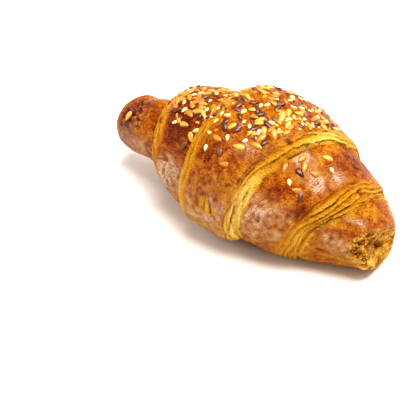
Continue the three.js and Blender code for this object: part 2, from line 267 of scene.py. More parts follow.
# Where a painted sheen lies on the crust: a pale pink reflection painted into its colour.
PAINTED_SHEEN = [
    (4, 127, 7, 8, 0.7), (12, 110, 5, 8, 0.5), (15.8, 109, 3, 8, 0.9), (0, 178, 17, 20, 0.7),
    (18, 105, 6, 9, 0.95), (28, 118, 9, 9, 1.1), (36, 102, 6, 10, 1.2), (33, 119, 4, 6, 0.9),
    (13, 162, 5, 12, 0.6), (20, 172, 14, 18, 0.85), (27, 153, 6, 7, 0.6), (50, 128, 4, 6, 1.0),
    (55.8, 124, 2.4, 7, 1.2), (47, 157, 6, 12, 1.1), (-26, 178, 10, 24, 1.1), (-29, 172, 4, 16, 0.9),
    (-35, 186, 4, 22, 1.1), (-48, 178, 9, 26, 0.6), (-59, 200, 7, 30, 0.8), (53, 170, 6, 14, 1.0),
    (-4, 196, 10, 14, 0.65), (-3, 18, 11, 13, 0.7), (26, 22, 8, 11, 0.7), (-27, 26, 7, 13, 0.6),
    (8, 318, 16, 18, 0.7), (-28, 322, 8, 18, 0.6), (34, 320, 7, 16, 0.6), (-54, 24, 7, 22, 0.5),
]
# Where a cut edge stayed palest.
PALE = [
    (7, 168, 6, 28, 1.05), (8, 202, 6, 16, 0.8), (-44, 170, 5, 26, 0.9), (35, 172, 6, 16, 0.4),
    (20, 78, 9, 30, 0.9), (-17, 180, 5, 25, 0.5), (-3, 177, 4, 7, 1.4), (8, 150, 5, 14, 0.3),
    (40, 128, 5, 12, 0.3),
]
# Where the stub is scorched and blistered, but not under the seed that lies there.
SCORCHED, UNDER_SEED = [(-55.9, 124, 6.9, 41, 1.9), (-60, 205, 5, 18, 0.6)], [(-56.9, 135, 1.8, 6, 0.9)]
# Where the skin has shrunk to small creases, which painted shade darkens.
CREASED = [
    (52, 168, 7, 26, 1.4), (-47, 60, 9, 50, 0.3), (27, 160, 8, 14, 0.8), (-27, 165, 8, 32, 1.2),
    (-4, 168, 11, 26, 1.1), (33, 110, 7, 12, 0.8), (54, 124, 6, 16, 0.8), (20, 25, 22, 26, 0.4),
    (-18, 335, 24, 24, 0.4),
]
# Where the stub and the tip are leaner or fuller than the roll, in millimetres.
UNEVEN = [(-58.5, 90, 4.5, 45, -2.0), (-50, 85, 4, 45, 0.9), (62, 236, 3, 12, 0.7)]
# Scorched spots and small holes: x, angle, reach along, reach round, depth in millimetres, darkness.
# The darkness is partly scorch colour and partly painted shade in the holes.
HOLES = [
    (-57.6, 131, 1.4, 5, 0.8, 0.8), (-54.3, 141, 1.5, 5, 0.4, 0.6), (-37.9, 127, 0.9, 4, 0.8, 0.9),
    (11.4, 106, 1.6, 1.8, 1.1, 0.9), (5.5, 112, 0.9, 1.2, 0.7, 0.7), (16.8, 168, 0.7, 1.3, 0.6, 0.8),
    (47.4, 94, 1.4, 3.2, 0.9, 0.8), (30.2, 117, 0.7, 1.5, 0.3, 0.6), (18.7, 98, 0.9, 2.0, 0.2, 0.4),
    (44.1, 180, 0.9, 2.4, 0.5, 0.5), (47.1, 162, 0.5, 5.0, 0.5, 0.5), (49.9, 158, 0.5, 6.0, 0.6, 0.5),
    (61.2, 172, 0.9, 14, 1.4, 0.9), (56.2, 166, 0.5, 2.4, 0.7, 0.9), (57.2, 159, 0.5, 2.0, 0.7, 0.9),
    (60.2, 133, 1.4, 9, 0.6, 0.5),
    (-39.7, 214, 1.0, 3.0, 0.8, 0.8), (-57.4, 198, 1.0, 3.0, 0.4, 0.6),
]
# Places where the skin has flaked off: x, angle, reach along, reach round, amount.
FLAKED = [(-4.8, 175, 2.6, 5.4, 1.1), (-1.4, 179, 2.4, 4.4, 1.1), (-38.6, 212, 2.0, 7.0, 0.8),
          (-36.5, 222, 1.6, 8, 0.7), (2.5, 168, 0.8, 1.2, 0.5), (-1.5, 146, 0.6, 0.9, 0.6)]
# How far the cut layers show inside each edge: angle, millimetres on the last turn, and on the next.
LEFT_CUT = [[0, 5.0, 5.6], [110, 6.6, 8.2], [148, 6.4, 7.8], [168, 6.2, 5.2], [190, 5.8, 2.8],
            [230, 4.0, 4.6], [360, 5.0, 5.6]]
RIGHT_CUT = [[0, 5.4, 8.2], [66, 6.6, 7.2], [84, 4.6, 9.0], [105, 3.2, 10.0], [136, 2.8, 10.0],
             [150, 2.2, 9.4], [168, 2.6, 8.4], [190, 5.4, 9.2], [215, 7.0, 9.0], [250, 6.0, 8.4],
             [360, 5.4, 8.2]]
# How far they reach past each right edge, on the turn below it.
RIGHT_PAST = [[0, 0.6, 2.0], [60, 0.3, 3.0], [84, 0.8, 1.2], [101, 1.3, 0.6], [115, 2.4, 0.4],
              [136, 2.7, 0.4], [150, 3.3, 1.0], [168, 3.5, 3.4], [188, 2.6, 3.6], [215, 1.2, 1.4],
              [250, 0.6, 1.0], [360, 0.6, 2.0]]
# Cracks along the layers: half width and depth in millimetres, and the angle and x of points on it.
# Painted shade darkens these cracks as well.
CRACKS = [
    (0.34, 0.7, [[86, 18.4], [98, 16.9], [109, 15.1], [120, 13.3], [132, 11.7], [144, 10.8]]),
    (0.30, 0.4, [[112, 9.9], [125, 7.9], [136, 6.2], [148, 5.4], [166, 4.9]]),
    (0.34, 0.5, [[154, 7.0], [165, 7.4], [175, 7.5], [190, 7.8], [205, 6.2]]),
    (0.30, 0.4, [[64, 21.5], [80, 17.4], [96, 14.0], [106, 12.4]]),
    (0.40, 0.8, [[116, 43.6], [125, 42.4], [135, 40.4], [145, 37.4], [154, 35.4]]),
    (0.34, 0.5, [[84, 44.6], [100, 42.2], [118, 39.6], [131, 36.8], [145, 33.8], [162, 30.8]]),
    (0.34, 0.5, [[92, 51.6], [104, 49.8], [119, 47.2], [130, 45.4], [143, 43.2], [158, 41.6]]),
]
# The tip has torn open: the angle and x where the tear starts, and its depth in millimetres. The
# crumb tears into shreds that run round the roll: the grain is shorter across them.
TEAR_LINE = [[0, 62.6], [60, 64.0], [100, 63.4], [118, 61.0], [132, 58.4], [145, 55.4], [158, 53.4],
             [186, 54.4], [220, 57.5], [253, 59.5], [312, 61.8], [336, 62.4], [360, 62.6]]
TEAR_DEPTH = 1.5
SHREDDED = np.array([1.0, 0.55, 1.5])

x, angle, share = crust_rings()
smooth_crust = crust_point(x, angle, share)
_, shows, left_in, right_in = crust_layers(x, angle)


def outwards(grid):
    """Unit normals of the crust's grid, from the differences between neighbours both ways."""
    sideways = np.roll(grid, -1, axis=1) - np.roll(grid, 1, axis=1)
    normal = np.cross(sideways, np.gradient(grid, axis=0))
    return normal / (np.linalg.norm(normal, axis=-1, keepdims=True) + 1e-9)


def strands(inside, width, length, shift):
    """Noise drawn out along the dough's edge: its grain is width across the edge, length round it."""
    reach = 30 / length
    sine, cosine = np.sin(np.radians(angle)), np.cos(np.radians(angle))
    return noise(np.stack([inside / width, reach * cosine, reach * sine], -1), 1.0, shift)


def ridges(value, sharpness):
    """1 along the lines where the noise passes through 0, falling off to both sides."""
    return (1 - np.minimum(np.abs(value), 1)) ** sharpness


last_turn, bare = shows == 0, shows == 2
wander = 0.7 * noise(smooth_crust, 8.0) + 0.3 * noise(smooth_crust, 2.6, 3)
right_width = np.where(last_turn, curve(RIGHT_CUT, angle, 1), curve(RIGHT_CUT, angle, 2))
left_width = np.where(last_turn, curve(LEFT_CUT, angle, 1), curve(LEFT_CUT, angle, 2))
right_edge, left_edge = right_in + wander, left_in + wander
cut_right = np.where(bare, 0, 1 - ease(right_edge, 0.6 * right_width, 1.2 * right_width))
cut_left = np.where(bare, 0, 1 - ease(left_edge, 0.76 * left_width, 1.12 * left_width))
past = x - curve(RIGHT_EDGE, wound_back(angle, np.where(last_turn | (shows == 1), 0, 1)))
past_width = np.where(bare, curve(RIGHT_PAST, angle, 2), curve(RIGHT_PAST, angle, 1))
cut_past = 1 - ease(past + 0.5 * wander, 0.8 * past_width, 1.15 * past_width)
cut_past = np.where((past > 0) & ~last_turn, cut_past, 0)
on_past = (cut_past > cut_right) & (cut_past > cut_left)
on_right = (cut_right >= cut_left) | on_past
inside = np.where(on_past, -past, np.where(on_right, right_edge, left_edge))
reach_in = np.where(on_past, curve(RIGHT_CUT, angle, 1), np.where(on_right, right_width, left_width))
reach_past = np.where(on_past, past_width, np.where(on_right & last_turn, curve(RIGHT_PAST, angle, 1), 0.0))
depth_in_cut = np.clip((inside + reach_past) / (reach_in + reach_past), 0, 1)

tear_line = np.interp(angle, *np.array(TEAR_LINE).T)
tear_line = tear_line + 0.8 * noise(smooth_crust, 4.0, 19) + 0.7 * noise(smooth_crust, 1.6, 7)
torn = ease(x - tear_line, -0.3, 0.7)
flaked = ease(patches(x, angle, FLAKED) + 0.25 * noise(smooth_crust, 1.8, 40), 0.3, 0.6)
cut = np.maximum(np.maximum(cut_right, cut_left), np.maximum(cut_past, flaked)) * (1 - torn)

# The laminated layers end on a cut edge one behind the other, like shingles: each rises towards
# the edge and drops there, at places with a crack under it.
LAYER_SPACING, LAYER_DROP = 2.3, 0.62
stacked = inside / LAYER_SPACING + 0.75 * strands(0.35 * inside, 1.0, 11, 3)
stacked = 1 - (stacked + 0.12 * noise(smooth_crust, 1.8, 11)) % 1.0
layered = LAYER_DROP * np.where(stacked < 0.86, stacked / 0.86, (1 - stacked) / 0.14) - 0.5 * LAYER_DROP
layered = layered + 0.14 * strands(inside, 0.8, 4, 9) + 0.12 * rough(smooth_crust, 2.0, 11)
broken = ease(strands(inside, 2.5, 6, 21), -0.05, 0.3)
# Cracks at the drops and along the ridge, sunk and darkened with painted shade.
crack = cut * np.exp(-((stacked - 0.97) / 0.07) ** 2) * broken
ridge_crack = np.where(bare, 0, np.exp(-((depth_in_cut - 0.86) / 0.06) ** 2)) * on_right
ridge_crack = ridge_crack * ease(strands(inside, 9.0, 8, 5), -0.15, 0.35)
# The seam under each edge where it meets the turn below: a groove, darkened with painted shadow.
seam = np.where(bare, 0, np.exp(-(np.minimum(right_in + 3 * last_turn, left_in) / 0.45) ** 2))
seam = seam * (0.35 + 0.65 * ease(strands(0 * inside, 1.0, 7, 30), -0.2, 0.3))
opened = 0
for reach, deep, path in CRACKS:
    line = np.array(path)[:, 0]
    gap = x - np.interp(angle, line, np.array(path)[:, 1]) + 0.35 * noise(smooth_crust, 3.0, 50)
    along_it = ease(angle, line[0], line[0] + 5) * (1 - ease(angle, line[-1] - 5, line[-1]))
    along_it = along_it * (0.25 + 0.75 * ease(noise(smooth_crust, 3.2, 44), -0.35, 0.05))
    opened = np.maximum(opened, deep * along_it * np.exp(-(gap / reach) ** 2))
crumbly = cut * np.where(last_turn, 0.3, 1.0) * on_right
crumbly = np.maximum(crumbly, cut * on_right * ease(angle, 150, 185) * (1 - ease(angle, 300, 330)) * 0.8)
scorch_and_hole_shade = patches(x, angle, [(a, b, c, d, f) for a, b, c, d, _, f in HOLES])
dent = patches(x, angle, [(a, b, c, d, e) for a, b, c, d, e, _ in HOLES])
burnt = patches(x, angle, SCORCHED) + 0.3 * noise(smooth_crust, 4.0, 36)
burnt = np.clip(burnt - 0.2, 0, 1) * ease(x, -61.5, -59.5) * (1 - patches(x, angle, UNDER_SEED))
creased = patches(x, angle, CREASED) * (1 - cut)
crease = ridges(noise(smooth_crust * [1.25, 0.7, 0.7], 2.6, 17), 6)

# Blisters on the scorched end of the stub: low glossy domes that crowd each other.
# Their colour gets painted shade between the domes and a painted highlight on their tops.
BLISTERS, BLISTERED, BLISTER_RADII = 96, [(-60.5, 56), (-48, 160)], (0.8, 1.7)
draws = np.random.default_rng(3)
domes = crust_point(*draws.uniform(*BLISTERED, (BLISTERS, 2)).T)
blister = 0
for dome, radius in zip(domes, draws.uniform(*BLISTER_RADII, BLISTERS)):
    near = np.clip(1 - np.linalg.norm(smooth_crust - dome, axis=-1) / radius, 0, 1)
    blister = np.maximum(blister, 0.55 * radius * np.sqrt(near))
# The skin is pebbled, most on the near side and least on the stub.
grain = 0.6 + 0.4 * ease(angle, 120, 165) * (1 - ease(angle, 250, 300))
grain = grain * (0.4 + 0.6 * ease(x, -54, -44))
pebbled = 0.22 * noise(smooth_crust, 1.9, 26) + 0.19 * noise(smooth_crust, 1.15, 33)

shreds = [noise(smooth_crust, 4.0, 8), noise(smooth_crust * SHREDDED, 2.1, 14),
          noise(smooth_crust * SHREDDED, 1.1, 12)]
torn_relief = 0.5 * shreds[0] + 0.35 * shreds[1] + 0.45 * shreds[2]
hollowed = TEAR_DEPTH * ease(x - tear_line, 0, 4) * (0.6 + 0.4 * np.cos(np.radians(angle - 150)))

# How far the crust stands out from the smooth roll, in millimetres.
relief = (
    0.16 * noise(smooth_crust, 9.0, 2) + 0.10 * noise(smooth_crust, 3.4, 9)
    + grain * (1 - cut) * pebbled
    + cut * layered - 0.35 * crack - 0.25 * ridge_crack - 0.35 * seam - 0.75 * opened
    + crumbly * (0.30 * rough(smooth_crust, 2.6, 31) + 0.12 * noise(smooth_crust, 1.2, 4))
    + burnt * (2.3 * blister - 0.6 + 0.15 * noise(smooth_crust, 1.3, 23))
    - creased * 0.45 * crease
    + torn * (torn_relief - hollowed)
    - dent - 0.25 * flaked * (1 - np.maximum(cut_right, cut_left))
    + patches(x, angle, UNEVEN)
)
relief *= ease(smooth_crust[..., 2], 0.0, 1.5) * ease(share, 0.0, 0.25)
crust_grid = smooth_crust + outwards(smooth_crust) * relief[..., None]
crust_grid[..., 2] = np.maximum(crust_grid[..., 2], 0)

# What the material reads at each point, from 0 to 1: how browned it is, its painted sheen, its painted
# shade and scorch, how shiny it is, and how far the torn crumb is raised.
browned = 0.5 + patches(x, angle, BROWNED)
browned = browned + 0.12 * rough(smooth_crust, 14, 3) + 0.10 * rough(smooth_crust, 5, 6)
# Lighter on the pebbles' crests and darker in their hollows: painted light and shade.
browned = np.clip(browned + 0.12 * burnt - 1.2 * grain * pebbled, 0, 1)
# Painted sheen, a pale pink reflection: more on pebble crests, and a painted highlight on blister tops.
veiled = patches(x, angle, PAINTED_SHEEN) * (0.75 + 0.5 * rough(smooth_crust, 6, 1) + 1.2 * pebbled)
veiled = np.clip(np.maximum(veiled, 0.55 * burnt * ease(blister, 0.45, 0.8)), 0, 1) * (1 - 0.8 * cut)
raised = 0.5 + 0.16 * shreds[0] + 0.24 * shreds[1] + 0.34 * shreds[2]
# Painted shade in the crumb's hollows.
crumb_hollow_shade = ease(0.5 - raised, 0.12, 0.4)
shine = np.clip(0.14 + 0.6 * veiled + 0.9 * burnt, 0, 1) * (1 - np.maximum(0.85 * cut, torn))
# Painted shade in cracks, seams, creases, crumb hollows and between blisters, and scorch on the spots.
dark = np.clip(0.8 * crack + 0.5 * ridge_crack + 0.6 * seam + 1.1 * opened + scorch_and_hole_shade + 0.45 * torn * crumb_hollow_shade
               + 0.7 * burnt * (1 - ease(blister, 0.1, 0.45)) + 0.36 * creased * crease, 0, 1)


def sheet_faces(rows, columns):
    """Quads of a grid that closes on itself round its columns, and a fan at each end's pole."""
    i, j = np.meshgrid(np.arange(rows - 1), np.arange(columns), indexing="ij")
    k = (j + 1) % columns
    quads = np.stack([i * columns + j, i * columns + k, (i + 1) * columns + k, (i + 1) * columns + j], -1)
    ring = np.arange(columns)
    after = (ring + 1) % columns
    first_pole, last_pole = rows * columns, rows * columns + 1
    last = (rows - 1) * columns
    start = np.stack([np.full(columns, first_pole), after, ring], -1)
    end = np.stack([np.full(columns, last_pole), last + ring, last + after], -1)
    return quads.reshape(-1, 4), np.concatenate([start, end])


def make_piece(name, points, quads, triangles, values, slot):
    """A mesh object in metres, with one float attribute for each named value, riding on the root."""
    mesh = bpy.data.meshes.new(name)
    mesh.from_pydata(points / 1000, [], quads.tolist() + triangles.tolist())
    for key, value in values.items():
        attribute = mesh.attributes.new(key, "FLOAT", "POINT")
        attribute.data.foreach_set("value", np.ascontiguousarray(value, np.float32))
    mesh.polygons.foreach_set("use_smooth", np.ones(len(mesh.polygons), bool))
    mesh.update()
    piece = bpy.data.objects.new(name, mesh)
    bpy.context.scene.collection.objects.link(piece)
    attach(piece, "root")
    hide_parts("croissant")
    return piece


def with_poles(field, first_value, last_value):
    """A grid's values as one list, followed by the values at its first and its last pole."""
    return np.concatenate([field.reshape(-1, *field.shape[2:]), [first_value], [last_value]])


stub_pole, tip_pole = (crust_point(np.array(end), np.array(0.0), 0.0) for end in (STUB_END, TIP_END))
look = {"browned": browned, "veiled": veiled, "cut": cut, "dark": dark, "torn": torn, "inside": inside,
        "depth_in_cut": depth_in_cut, "raised": raised, "shine": shine,
        "stacked": stacked + patches(x, angle, PALE)}
crust = make_piece(
    "crust", with_poles(crust_grid, stub_pole, tip_pole) + PLACE, *sheet_faces(len(x), AROUND),
    {key: with_poles(value, value[0].mean(), value[-1].mean()) for key, value in look.items()}, "crust")


def linear(hex_colour):
    """An sRGB hex colour as the linear colour that a shader reads."""
    parts = [int(hex_colour[i:i + 2], 16) / 255 for i in (1, 3, 5)]
    return [c / 12.92 if c <= 0.04045 else ((c + 0.055) / 1.055) ** 2.4 for c in parts] + [1.0]


def add(tree, kind, out, inputs, stops=None, **settings):
    """Adds a node with its settings and returns one output. An input is a value or a node's output,
    and stops are the places and hex colours of a colour ramp."""
    node = tree.nodes.new("ShaderNode" + kind)
    for key, value in settings.items():
        setattr(node, key, value)
    for key, value in inputs.items():
        if isinstance(value, bpy.types.NodeSocket):
            tree.links.new(value, node.inputs[key])
        else:
            node.inputs[key].default_value = value
    for i, (position, colour) in enumerate(stops or []):
        element = node.color_ramp.elements[i] if i < 2 else node.color_ramp.elements.new(position)
        element.position, element.color = position, linear(colour)
    return node.outputs[out]


# Egg-washed bread crust: starch and sugar browned by the oven, under a thin varnish of dried egg.
# It gives a soft gloss, a mottled orange brown, and dry matt yellow where a cut edge opens.
crust_finish = bpy.data.materials.new("egg_washed_crust")
crust_finish.use_nodes = True
tree = crust_finish.node_tree
shader = tree.nodes["Principled BSDF"]
place = add(tree, "TexCoord", "Object", {})
field = {key: add(tree, "Attribute", "Fac", {}, attribute_name=key) for key in look}
# The sizes of the brown mottling, of the fine speckle and of a strand, in millimetres. Scales are in
# cells for each metre: 1000 divided by the size.
MOTTLE, SPECKLE, STRAND_WIDTH, STRAND_LENGTH = 3.0, 0.75, 0.8, 5
mottle = add(tree, "TexNoise", "Fac",
             {"Vector": place, "Scale": 1000 / MOTTLE, "Detail": 6, "Roughness": 0.7})
speckle = add(tree, "TexNoise", "Fac",
              {"Vector": place, "Scale": 1000 / SPECKLE, "Detail": 3, "Roughness": 0.6})

# The strands of the layers: fine across the edge and long round it.
axes = {name: add(tree, "SeparateXYZ", name, {0: place}) for name in ("Y", "Z")}
across = add(tree, "Math", 0, {0: field["inside"], 1: 1 / STRAND_WIDTH}, operation="MULTIPLY")
round_y = add(tree, "Math", 0, {0: axes["Y"], 1: 1000 / STRAND_LENGTH}, operation="MULTIPLY")
round_z = add(tree, "Math", 0, {0: axes["Z"], 1: 1000 / STRAND_LENGTH}, operation="MULTIPLY")
strand_place = add(tree, "CombineXYZ", 0, {0: across, 1: round_y, 2: round_z})
strand = add(tree, "TexNoise", "Fac", {"Vector": strand_place, "Scale": 1.0, "Detail": 3, "Roughness": 0.6})

# The turns: golden to deep brown, with a painted sheen of pale pink reflection in places and painted shade
# in small pits.
tone = add(tree, "Math", 0, {0: mottle, 1: 0.8, 2: field["browned"]}, operation="MULTIPLY_ADD")
tone = add(tree, "Math", 0, {0: speckle, 1: 1.6, 2: tone}, operation="MULTIPLY_ADD")
tone = add(tree, "Math", 0, {0: tone, 1: 1.22}, operation="SUBTRACT", use_clamp=True)
turns = add(tree, "ValToRGB", 0, {0: tone}, stops=[
    (0.0, "#E2B04A"), (1.0, "#5A2002"), (0.22, "#D2921E"), (0.42, "#C1780B"), (0.6, "#AC5602"),
    (0.8, "#8A3700")])
# The painted sheen: a pale pink reflection broken into streaks and specks, paler where it is stronger.
sheen_noise = add(tree, "Math", 0, {0: strand, 1: 0.45}, operation="MULTIPLY")
sheen_noise = add(tree, "Math", 0, {0: speckle, 1: 0.55, 2: sheen_noise}, operation="MULTIPLY_ADD")
sheen_noise = add(tree, "MapRange", 0, {"Value": sheen_noise, "From Min": 0.43, "From Max": 0.55,
                                       "To Min": 0.1, "To Max": 1.0})
sheen_share = add(tree, "Math", 0, {0: field["veiled"], 1: sheen_noise}, operation="MULTIPLY", use_clamp=True)
thick = add(tree, "MapRange", 0, {"Value": field["veiled"], "From Min": 0.4, "From Max": 1.0,
                                  "To Min": 0.0, "To Max": 1.0})
sheen_colour = add(tree, "Mix", 2, {0: thick, 6: linear("#B98360"), 7: linear("#E2C0AC")}, data_type="RGBA")
turns = add(tree, "Mix", 2, {0: sheen_share, 6: turns, 7: sheen_colour}, data_type="RGBA")
# Painted shade in the small pits, where the bump is lowest.
pit_shade = add(tree, "MapRange", 0, {"Value": speckle, "From Min": 0.34, "From Max": 0.46,
                                 "To Min": 0.65, "To Max": 0.0})
turns = add(tree, "Mix", 2, {0: pit_shade, 6: turns, 7: linear("#6A2A08")}, data_type="RGBA")
# The cut edges: yellow layers, browner in their gaps and more orange towards the turn's skin.
streaks = add(tree, "Math", 0, {0: strand, 1: 0.4, 2: -0.1}, operation="MULTIPLY_ADD")
streaks = add(tree, "Math", 0, {0: speckle, 1: 0.5, 2: streaks}, operation="MULTIPLY_ADD")
streaks = add(tree, "Math", 0, {0: field["stacked"], 1: 0.36, 2: streaks}, operation="MULTIPLY_ADD")
edges = add(tree, "ValToRGB", 0, {0: streaks}, stops=[
    (0.3, "#8C5408"), (0.98, "#FDD87E"), (0.42, "#B6780E"), (0.54, "#CE9322"), (0.68, "#DFAA3C"),
    (0.82, "#EEC25C")])
orange_share = add(tree, "MapRange", 0, {"Value": field["depth_in_cut"], "From Min": 0.45, "From Max": 1.0,
                                         "To Min": 0.0, "To Max": 0.6})
edges = add(tree, "Mix", 2, {0: orange_share, 6: edges, 7: linear("#CF7F18")}, data_type="RGBA")
surface = add(tree, "Mix", 2, {0: field["cut"], 6: turns, 7: edges}, data_type="RGBA")
# The torn crumb: painted light where it stands up and painted shade in its hollows.
heaped = add(tree, "Math", 0, {0: field["raised"], 1: 0.5, 2: -0.2}, operation="MULTIPLY_ADD")
heaped = add(tree, "Math", 0, {0: speckle, 1: 0.9, 2: heaped}, operation="MULTIPLY_ADD")
crumb = add(tree, "ValToRGB", 0, {0: heaped}, stops=[
    (0.28, "#64320C"), (0.72, "#F2CC7C"), (0.4, "#AE7020"), (0.54, "#D49E40")])
surface = add(tree, "Mix", 2, {0: field["torn"], 6: surface, 7: crumb}, data_type="RGBA")
# Painted shade and scorch colour, mixed in everywhere.
surface = add(tree, "Mix", 2, {0: field["dark"], 6: surface, 7: linear("#5C2206")}, data_type="RGBA")
tree.links.new(surface, shader.inputs["Base Color"])

# The gloss: a coat of egg where it shines, none on the cut edges and the crumb.
matt = add(tree, "Math", 0, {0: field["cut"], 1: field["torn"]}, operation="MAXIMUM")
roughness = add(tree, "Math", 0, {0: matt, 1: 0.2, 2: 0.38}, operation="MULTIPLY_ADD")
tree.links.new(roughness, shader.inputs["Roughness"])
tree.links.new(field["shine"], shader.inputs["Coat Weight"])
shader.inputs["Coat Roughness"].default_value = 0.19
shader.inputs["Specular IOR Level"].default_value = 0.22
shader.inputs["Specular Tint"].default_value = linear("#FFD9A8")
skin = add(tree, "Math", 0, {0: mottle, 1: 0.4}, operation="MULTIPLY")
skin = add(tree, "Math", 0, {0: speckle, 1: 0.6, 2: skin}, operation="MULTIPLY_ADD")
bump = add(tree, "Bump", "Normal", {"Height": skin, "Strength": 1.0, "Distance": 0.0028})
tree.links.new(bump, shader.inputs["Normal"])
tree.links.new(bump, shader.inputs["Coat Normal"])
crust.data.materials.append(crust_finish)

# The seeds: golden and brown linseeds and hulled sesame, strewn on the egg wash before baking, so
# they stick by their lower half. Most lie along the top, and some have rolled down the sides.

SEEDS = {
    "golden": {"length": 5.0, "width": 2.8, "height": 1.7, "point": 0.35},
    "brown": {"length": 4.8, "width": 2.6, "height": 1.6, "point": 0.35},
    "sesame": {"length": 3.0, "width": 1.9, "height": 1.3, "point": 0.3},
}
SEED_SINK = 0.12
SEED_PLUMPNESS = 0.85  # a real seed is a little flatter than the solid's
SEED_SIDES, SEED_RINGS = 10, 5
# Where they are strewn: x, angle, reach along, reach round, density, within a start and a span.
STREWN = [(-26, 100, 9, 26, 0.9), (-4, 88, 17, 36, 1.0), (13, 72, 9, 24, 0.75)]
STREWN_X, STREWN_ANGLE = (-36, 60), (44, 86)
STREWN_COUNT, SEED_SPACING, EDGE_CLEARANCE = 168, 2.1, 6.0
DRAW_START, DRAW_FACTOR, DRAW_SIZE, DRAWS_EACH, ATTEMPTS = 20231, 16807, 2147483647, 7, 6000
# The seeds that lie apart: kind, x, angle and turn.
STRAYS = [
    ("golden", -56.9, 135, 92), ("golden", -20, 133, 60), ("golden", 4.8, 121, 5),
    ("golden", -7.2, 128, 15), ("golden", 15, 123, 75), ("golden", 17.9, 108, 100),
    ("golden", 20.8, 113, 70), ("golden", 25.9, 112, 165), ("golden", 23.9, 132, 160),
    ("brown", -4.3, 136, 50), ("brown", -21.8, 143, 110), ("brown", 27, 135, 70),
    ("brown", 17.2, 210, 20), ("golden", 26, 93, 150), ("sesame", -10, 137, 80),
    ("sesame", -4, 125, 60), ("sesame", 31.8, 99, 20), ("sesame", 19.4, 130, 45),
    ("brown", 20.6, 119, 10), ("golden", -24.6, 124, 0),
]


def nearest(points, point):
    """How far the nearest of some points lies from a point."""
    return np.min(np.linalg.norm(np.array(points) - point, axis=1))


def scatter_seeds():
    """Kind, x, angle, turn, size, tilt and lift of each seed. A seed is kept where the strewn patches
    are dense enough for its draw and no other seed lies within the spacing."""
    state, attempts = DRAW_START, []
    for _ in range(ATTEMPTS * DRAWS_EACH):
        state = state * DRAW_FACTOR % DRAW_SIZE
        attempts.append(state / DRAW_SIZE)
    draws = np.array(attempts).reshape(-1, DRAWS_EACH)
    xs = STREWN_X[0] + STREWN_X[1] * draws[:, 0]
    angles = STREWN_ANGLE[0] + STREWN_ANGLE[1] * draws[:, 1]
    dense = np.max([most * np.exp(-np.abs((xs - cx) / rx) ** 4 - np.abs((angles - ca) / ra) ** 4)
                    for cx, ca, rx, ra, most in STREWN], axis=0)
    strays = np.array([stray[1:3] for stray in STRAYS], float)
    taken = list(crust_point(strays[:, 0], strays[:, 1]))
    seeds = [(*stray, 1.0, 4.0, 0.0) for stray in STRAYS]
    for draw, sx, sa, density, spot in zip(draws, xs, angles, dense, crust_point(xs, angles)):
        if len(seeds) == STREWN_COUNT + len(STRAYS):
            break
        if draw[2] > density or nearest(taken, spot) < SEED_SPACING:
            continue
        darker = 0.16 + 0.5 * math.exp(-((sx + 5) / 8) ** 2 - ((sa - 110) / 14) ** 2)
        kind = "brown" if draw[3] < darker else "sesame" if draw[3] < darker + 0.3 else "golden"
        seeds.append((kind, sx, sa, 180 * draw[4], 0.84 + 0.26 * draw[5], -14 + 28 * draw[6], 0.0))
        taken.append(spot)
    return seeds


def keep_off_edge(seed):
    """A seed that would lie on the last turn's right cut edge lies as far on the other side of the
    inner border of that edge."""
    border = float(curve(RIGHT_EDGE, wound_back(seed[2], 0))) - EDGE_CLEARANCE
    return seed if seed[1] < border else (seed[0], 2 * border - seed[1], *seed[2:])


# More and smaller seeds lie on and between the first ones.
SPRINKLED_COUNT, SPRINKLED_SPACING, PILE_HEIGHT, PILE_REACH = 220, 1.2, 0.8, 1.8


def sprinkle_seeds(seeds):
    """Smaller seeds drawn over the same patches. One that falls on another lies higher, by the pile
    height times exp(-(gap / reach)^2), and leans more."""
    draws = np.random.default_rng(12)
    below = crust_point(*(np.array([seed[i] for seed in seeds]) for i in (1, 2)))
    spots, sprinkled = [], []
    while len(sprinkled) < SPRINKLED_COUNT:
        cx, ca, rx, ra, _ = STREWN[draws.integers(len(STREWN))]
        sx, sa = cx + 0.62 * rx * draws.normal(), ca + 0.55 * ra * draws.normal()
        spot = crust_point(np.array(sx), np.array(sa))
        turn, size, tilt, pick = draws.uniform([0, 0.55, -24, 0], [180, 1.0, 24, 1])
        if spots and nearest(spots, spot) < SPRINKLED_SPACING:
            continue
        lift = PILE_HEIGHT * math.exp(-(nearest(below, spot) / PILE_REACH) ** 2)
        lighter = 0.8 - 0.5 * math.exp(-((sx + 3) / 8) ** 2 - ((sa - 112) / 10) ** 2)
        kind = "golden" if pick < 0.7 * lighter else "sesame" if pick < lighter else "brown"
        sprinkled.append((kind, sx, sa, turn, size, tilt, lift))
        spots.append(spot)
    return sprinkled


def seed_shape(kind):
    """One seed as rings about its length: a ball drawn out, flattened, and narrowed to one end."""
    spec = SEEDS[kind]
    polar = np.pi * np.arange(1, SEED_RINGS)[:, None] / SEED_RINGS
    around = 2 * np.pi * np.arange(SEED_SIDES)[None, :] / SEED_SIDES
    long = -np.cos(polar)
    waist = np.sin(polar) ** 1.25 * (1 - spec["point"] * long)
    y = waist * np.cos(around) * spec["width"] / 2
    z = np.sin(polar) * np.sin(around) * spec["height"] * SEED_PLUMPNESS / 2
    rim = np.broadcast_to(np.abs(np.cos(around)), y.shape)
    grid = np.stack([np.broadcast_to(long * spec["length"] / 2, y.shape), y, z], -1)
    poles = np.array([[-spec["length"] / 2, 0, 0], [spec["length"] / 2, 0, 0]])
    return with_poles(grid, *poles), with_poles(rim, 1.0, 1.0)


def unit(vectors):
    """Each vector divided by its own length."""
    return vectors / np.linalg.norm(vectors, axis=-1, keepdims=True)


